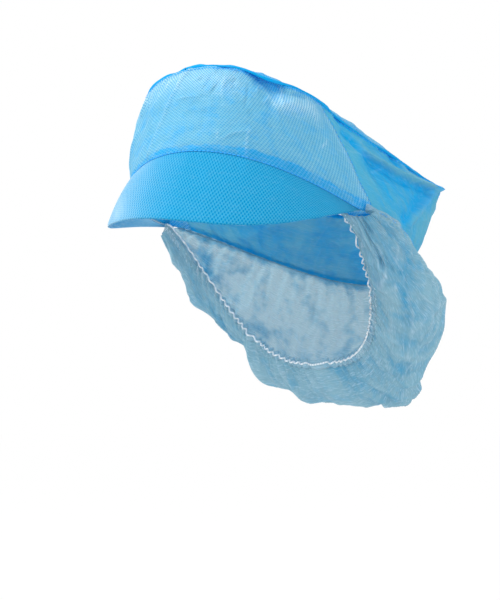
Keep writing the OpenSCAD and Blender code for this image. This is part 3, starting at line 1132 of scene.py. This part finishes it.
# ---- peak ------------------------------------------------------------------------------------
@dataclass
class Peak:
    """Three layers of the peak and the margin by which it is sewn in."""

    form: CapForm
    upper_cut: Cut = Cut(44, 298, 84.9)
    core_cut: Cut = Cut(42, 289, 81.1)
    lower_cut: Cut = Cut(44, 298, 82.4)
    margin_cut: Cut = Cut(4.5, 239, 9.1)
    thickness: float = 0.35
    columns: int = 220
    rows: int = 60
    reach: float = 88.5
    core: float = 0.75
    margin: float = 4.6

    def layer(self, drop: float, inset: float, edge_curl: float) -> Array:
        """One layer of the peak.

        Args:
            drop: distance under the upper face, in millimetres.
            inset: how far the layer stops short of the edge, as a share of the peak's depth.
            edge_curl: how far its edge turns down, in millimetres.

        Returns:
            Grid of positions in millimetres.
        """
        f = np.linspace(-self.reach, self.reach, self.columns)[:, None] + np.zeros(self.rows)[None]
        s = np.linspace(0, 1 - inset, self.rows)[None] + np.zeros_like(f)
        p = self.form.peak(f, s)
        n = unit(np.cross(np.gradient(p, axis=0), np.gradient(p, axis=1)))
        n = np.where(n[..., 2:] < 0, -n, n)
        wave = Crumple(51, 38.0).at(p) * 0.7 + Crumple(52, 12.0).at(p) * 0.12
        depth = drop + edge_curl * smooth(s, 0.955, 1.0) - wave * np.sin(np.pi * s) ** 0.5
        return p - n * depth[..., None]

    def build(self) -> None:
        """Makes the peak's pieces, with their places baked into their meshes."""
        face, lining, core = PEAK_WEB.make(), PEAK_LINING.make(), STIFFENER.make()
        lower_drop = self.thickness * 2 + self.core
        plan = (
            ("peak_upper", "peak_upper_layer", 0.0, 0.0, 0.45, self.thickness, face,
             "peak_cloth", self.upper_cut),
            ("peak_core", "peak_interlining", self.thickness + 0.05, 0.03, 0.0, self.core - 0.1, core,
             "interlining", self.core_cut),
            ("peak_lower", "peak_lower_layer", lower_drop - self.thickness + 0.05, 0.0, -0.25, self.thickness,
             lining, "peak_cloth", self.lower_cut),
        )
        for name, node, drop, inset, curl, thick, web, slot, cut in plan:
            grid = self.layer(drop, inset, curl)
            uv = grid_uv(grid)
            # Painted highlight: the web is paler towards negative x, the side the key light falls on, fading
            # out between x of -62 and 20 mm.
            lit_side_highlight = 0.42 * (1 - smooth(grid[..., 0], -62, 20)) * (0.8 + 0.4 * Crumple(53, 16.0).at(grid))
            piece = cloth_grid(
                name, grid[:, ::-1], uv[:, ::-1], np.zeros(grid.shape[:2]), thick, lit_side_highlight[:, ::-1]
            )
            dress(piece, web, node)
            declare(piece, cut)
            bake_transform(piece)
        f = np.linspace(-84, 84, 200)[:, None] + np.zeros(8)[None]
        v = np.linspace(0, 1, 8)[None] + np.zeros_like(f)
        pinked = 1 + 0.12 * np.sign(np.sin(f * 6.0)) * (v > 0.9)
        high = self.margin * v * pinked * (0.75 + 0.4 * smooth(f, 0, 60))
        grid = self.form.hem(f) - self.form.outward(f) * (1.0 + 0.35 * high)[..., None]
        grid[..., 2] += high
        piece = cloth_grid("peak_margin", grid, grid_uv(grid), np.ones(grid.shape[:2]), 0.5)
        dress(piece, face, "peak_seam_allowance")
        declare(piece, self.margin_cut)
        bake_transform(piece)


# ---- snood -----------------------------------------------------------------------------------
@dataclass
class Snood:
    """Gathered hair pouch with its heading, elastic edge and overlock stitches."""

    form: CapForm
    fullness: float = 1.3
    pouch_cut: Cut = Cut(149, 399, 330.3)
    heading_cut: Cut = Cut(5, 288, 13.7)
    casing_cut: Cut = Cut(11.5, 302, 17.3)
    thickness: float = 0.22
    columns: int = 380
    rows: int = 96
    first: float = 91.0
    elastic_radius: float = 0.6
    creases: tuple[Creasing, ...] = (
        Creasing(72, 70, (115, 372, 0, 110), (35, 90), (1.6, 5.0), (2.5, 6.0), 75, 18, 0.5),
        Creasing(73, 170, (115, 372, 0, 110), (12, 40), (0.8, 2.8), (1.2, 3.2), 60, 45, 0.7),
        Creasing(74, 240, (115, 372, 0, 110), (5, 14), (0.2, 0.9), (0.8, 1.6), 60, 60, 0.75),
    )

    def lie(self, f: Array, t: Array) -> tuple[Array, Array, Array]:
        """Pouch position with its gathers and crumples.

        Args:
            f: degrees round.
            t: share of the way from heading to elastic.

        Returns:
            Positions in millimetres; how much deeper the cloth looks, which is random tone with painted shade
            in hollows and lighter on bulges; and how much paler it is, which is crease whitening with painted
            highlight on gather crests and crease crests.
        """
        base = self.form.pouch(f, t)
        du = self.form.pouch(f + 0.5, t) - self.form.pouch(f - 0.5, t)
        dv = self.form.pouch(f, np.clip(t + 0.01, 0, 1)) - self.form.pouch(f, np.clip(t - 0.01, 0, 1))
        out = -unit(np.cross(du, dv))
        g = np.stack([f * POUCH_RUN, t * 9.0, 0 * f], -1)
        flat = np.stack([f * POUCH_RUN, t * POUCH_DROP, 0 * f], -1)
        drift = Crumple(61, 24.0).at(flat) * 5.0
        reach = 0.2 + 0.1 * Crumple(69, 8.0).at(g)
        top = np.sin(
            (f * POUCH_RUN + drift * t) * 2 * np.pi / 5.6 + 3 * Crumple(62, 14.0).at(g)
        ) * np.exp(-t / reach) * 1.7
        top *= 0.25 + 0.75 * smooth(t, 0.0, 0.08)
        tail = np.sin((f * POUCH_RUN - drift * (1 - t)) * 2 * np.pi / 4.6 + 3 * Crumple(63, 12.0).at(g))
        bottom = tail * np.exp(-(1 - t) / (0.12 + 0.05 * Crumple(70, 7.0).at(g))) * 1.2
        middle = np.sin(np.pi * t) ** 0.5
        # Painted highlight on the crests of the gathers under the heading.
        lift, white = np.zeros(f.shape), 0.12 * np.clip(top, 0, 1)
        for crease in self.creases:
            raised, pale = crease.at(flat[..., 0], flat[..., 1])
            lift += raised
            white += pale
        lift += 3.4 * Crumple(66, 34.0).at(flat) + 1.2 * Crumple(67, 9.0).at(flat)
        # Random tone of the web, with painted shade in hollows and lighter on bulges.
        deep = 0.5 * Crumple(68, 21.0).at(flat) + 0.1 - 0.12 * np.clip(lift, -2, 2)
        return base + out * (top + bottom + middle * lift)[..., None], deep, white * (0.4 + 0.6 * middle)

    def even_turns(self, step: float) -> Array:
        """Angles that lie evenly along the elastic.

        Args:
            step: distance between them in millimetres.

        Returns:
            Degrees round, from one temple to the other.
        """
        f = np.linspace(self.first, 360 - self.first, 1200)
        run = np.concatenate(
            [[0], np.cumsum(np.linalg.norm(np.diff(self.form.elastic(f), axis=0), axis=-1))]
        )
        return np.interp(np.arange(0, run[-1], step), run, f)

    def build(self) -> None:
        """Makes the snood's pieces, with their places baked into their meshes."""
        web, overlock, cord = SNOOD_WEB.make(), WHITE_THREAD.make(), WHITE_ELASTIC.make()
        last = 360 - self.first
        f = np.linspace(self.first, last, self.columns)[:, None] + np.zeros(self.rows)[None]
        t = (np.linspace(0, 1, self.rows) * 0.965)[None] + np.zeros_like(f)
        grid, deep, white = self.lie(f, t)
        layers = np.clip(np.maximum(deep, 0.55 * (1 - smooth(t, 0.015, 0.05))), 0, 1)
        piece = cloth_grid(
            "snood_bag", grid[:, ::-1], grid_uv(grid)[:, ::-1], layers[:, ::-1], self.thickness, white[:, ::-1]
        )
        dress(piece, web, "snood_pouch")
        declare(piece, self.pouch_cut.gathered(self.fullness))
        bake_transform(piece)

        v = np.linspace(0, 1, 8)
        f2 = np.linspace(self.first, last, 420)[:, None] + np.zeros(8)[None]
        t2 = v[None] + np.zeros_like(f2)
        gather = 1.5 * Crumple(71, 6.5).at(np.stack([f2 * POUCH_RUN, 3.0 * t2, 0 * f2], -1))
        stand = self.form.heading_stand + 0.75 + (0.8 * gather + 0.3) * t2 + 0.5 * t2**3
        head = self.form.hem(f2) + self.form.outward(f2) * stand[..., None]
        uneven = 1 + 0.1 * gather * t2 + 0.35 * Crumple(75, 19.0).at(head)
        head[..., 2] += (t2 - 0.25) * self.form.heading_height * uneven
        edge = 0.2 + 0.5 * smooth(t2, 0.6, 1.0)
        piece = cloth_grid(
            "snood_gathered_heading", head, grid_uv(head), 0.3 * (1 - t2), self.thickness, edge
        )
        dress(piece, web, "snood_heading")
        declare(piece, self.heading_cut.gathered(self.fullness))
        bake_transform(piece)

        t3 = (0.962 + 0.038 * v)[None] + np.zeros_like(f2)
        edge = self.lie(f2, t3)[0]
        piece = cloth_grid(
            "snood_turned_edge", edge[:, ::-1], grid_uv(edge)[:, ::-1], 0.2 + 0 * t3, 0.5, 0.5 + 0 * t3
        )
        dress(piece, web, "snood_edge_casing")
        declare(piece, self.casing_cut.gathered(self.fullness))
        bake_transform(piece)

        f4 = np.linspace(self.first, last, 400)
        line = self.lie(f4, np.full_like(f4, 0.985))[0] - self.form.outward(f4) * 1.5
        piece = tube("snood_elastic_cord", line, self.elastic_radius, 8)
        dress(piece, cord, "snood_elastic")
        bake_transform(piece)
        zig_f = self.even_turns(1.35)
        depth = np.linalg.norm(self.form.pouch(zig_f, np.ones_like(zig_f)) - self.form.hem(zig_f), axis=-1)
        sway = 1.15 * np.where(np.arange(len(zig_f)) % 2 == 0, 1, -1) / np.clip(depth * 1.3, 12, None)
        zig, _, _ = self.lie(zig_f, np.clip(1 - 1.9 / np.clip(depth * 1.3, 12, None) + sway, 0, 1))
        row = StitchRow("snood_overlock_stitches", length=1.3, gap=-0.45, radius=0.15).make(
            zig + self.form.outward(zig_f) * 0.35, overlock
        )
        dress(row, overlock, "snood_overlock_thread")
        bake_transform(row)


# ---- stage, lights and camera ----------------------------------------------------------------
@dataclass
class Studio:
    """Flat pale glowing floor, soft lights, and the camera."""

    azimuth: float = 40.95
    elevation: float = -5.17
    roll: float = -0.6
    distance: float = 1.5
    lens: float = 139.5
    aim_right: float = -0.0103
    aim_up: float = -0.0523
    floor: float = -0.26

    def camera(self) -> None:
        """Puts the camera a little below the cap, to its wearer's left."""
        a, e, r = (math.radians(x) for x in (self.azimuth, self.elevation, self.roll))
        back = Vector((math.sin(a) * math.cos(e), -math.cos(a) * math.cos(e), math.sin(e)))
        right = Vector((math.cos(a), math.sin(a), 0))
        up = back.cross(right)
        right, up = right * math.cos(r) + up * math.sin(r), up * math.cos(r) - right * math.sin(r)
        place = back * self.distance
        aim = right * self.aim_right + up * self.aim_up
        look = (place - aim).normalized()
        side = up.cross(look).normalized()
        data = bpy.data.cameras.new("studio_camera")
        data.lens = self.lens
        data.sensor_width = 36.0
        data.clip_start, data.clip_end = 0.05, 50.0
        camera = bpy.data.objects.new("studio_camera", data)
        turn = Matrix((side, look.cross(side), look)).transposed().to_4x4()
        camera.matrix_world = Matrix.Translation(place) @ turn
        bpy.context.scene.collection.objects.link(camera)
        bpy.context.scene.camera = camera

    def light(
        self, name: str, place: Sequence[float], power: float, size: float, tint: str = "#ffffff"
    ) -> None:
        """Adds a soft square light that faces the cap.

        Args:
            name: the light's name.
            place: its position in metres.
            power: its power in watts.
            size: its side in metres.
            tint: its colour.
        """
        data = bpy.data.lights.new(name, "AREA")
        data.energy, data.size, data.color = power, size, linear(tint)[:3]
        lamp = bpy.data.objects.new(name, data)
        lamp.location = place
        lamp.rotation_mode = "QUATERNION"
        lamp.rotation_quaternion = (Vector(place) - Vector((0, 0, 0))).to_track_quat("Z", "Y")
        bpy.context.scene.collection.objects.link(lamp)

    def build(self) -> None:
        """Makes the stage, the lights, the world and the camera."""
        bm = bmesh.new()
        bmesh.ops.create_circle(bm, cap_ends=True, segments=64, radius=40.0)
        mesh = bpy.data.meshes.new("studio_floor")
        bm.to_mesh(mesh)
        bm.free()
        mesh.transform(Matrix.Translation((0, 0, self.floor)))
        floor = bpy.data.objects.new("studio_floor", mesh)
        bpy.context.scene.collection.objects.link(floor)
        material = bpy.data.materials.new("white light table")
        material.use_nodes = True
        shader = material.node_tree.nodes["Principled BSDF"]
        shader.inputs["Base Color"].default_value = linear("#303030")
        shader.inputs["Roughness"].default_value = 0.95
        shader.inputs["Specular IOR Level"].default_value = 0.0
        shader.inputs["Emission Color"].default_value = linear("#ffffff")
        shader.inputs["Emission Strength"].default_value = 0.97
        material.cycles.emission_sampling = "NONE"
        mesh.materials.append(material)
        world = bpy.data.worlds.new("studio_world")
        bpy.context.scene.world = world
        world.use_nodes = True
        world.node_tree.nodes["Background"].inputs["Color"].default_value = linear("#ffffff")
        world.node_tree.nodes["Background"].inputs["Strength"].default_value = 1.0
        bpy.context.scene.view_settings.view_transform = "Standard"
        self.light("key", (-0.75, -1.1, 1.25), 22.0, 0.5)
        self.light("fill", (1.4, -0.6, 0.3), 3.0, 1.0)
        self.camera()


def main() -> None:
    """Builds the studio, the crown, the peak and the snood."""
    logging.basicConfig(level=logging.INFO, format="%(message)s")
    Studio().build()
    form = CapForm()
    Crown(form).build()
    Peak(form).build()
    Snood(form).build()


if __name__ == "__main__":
    main()
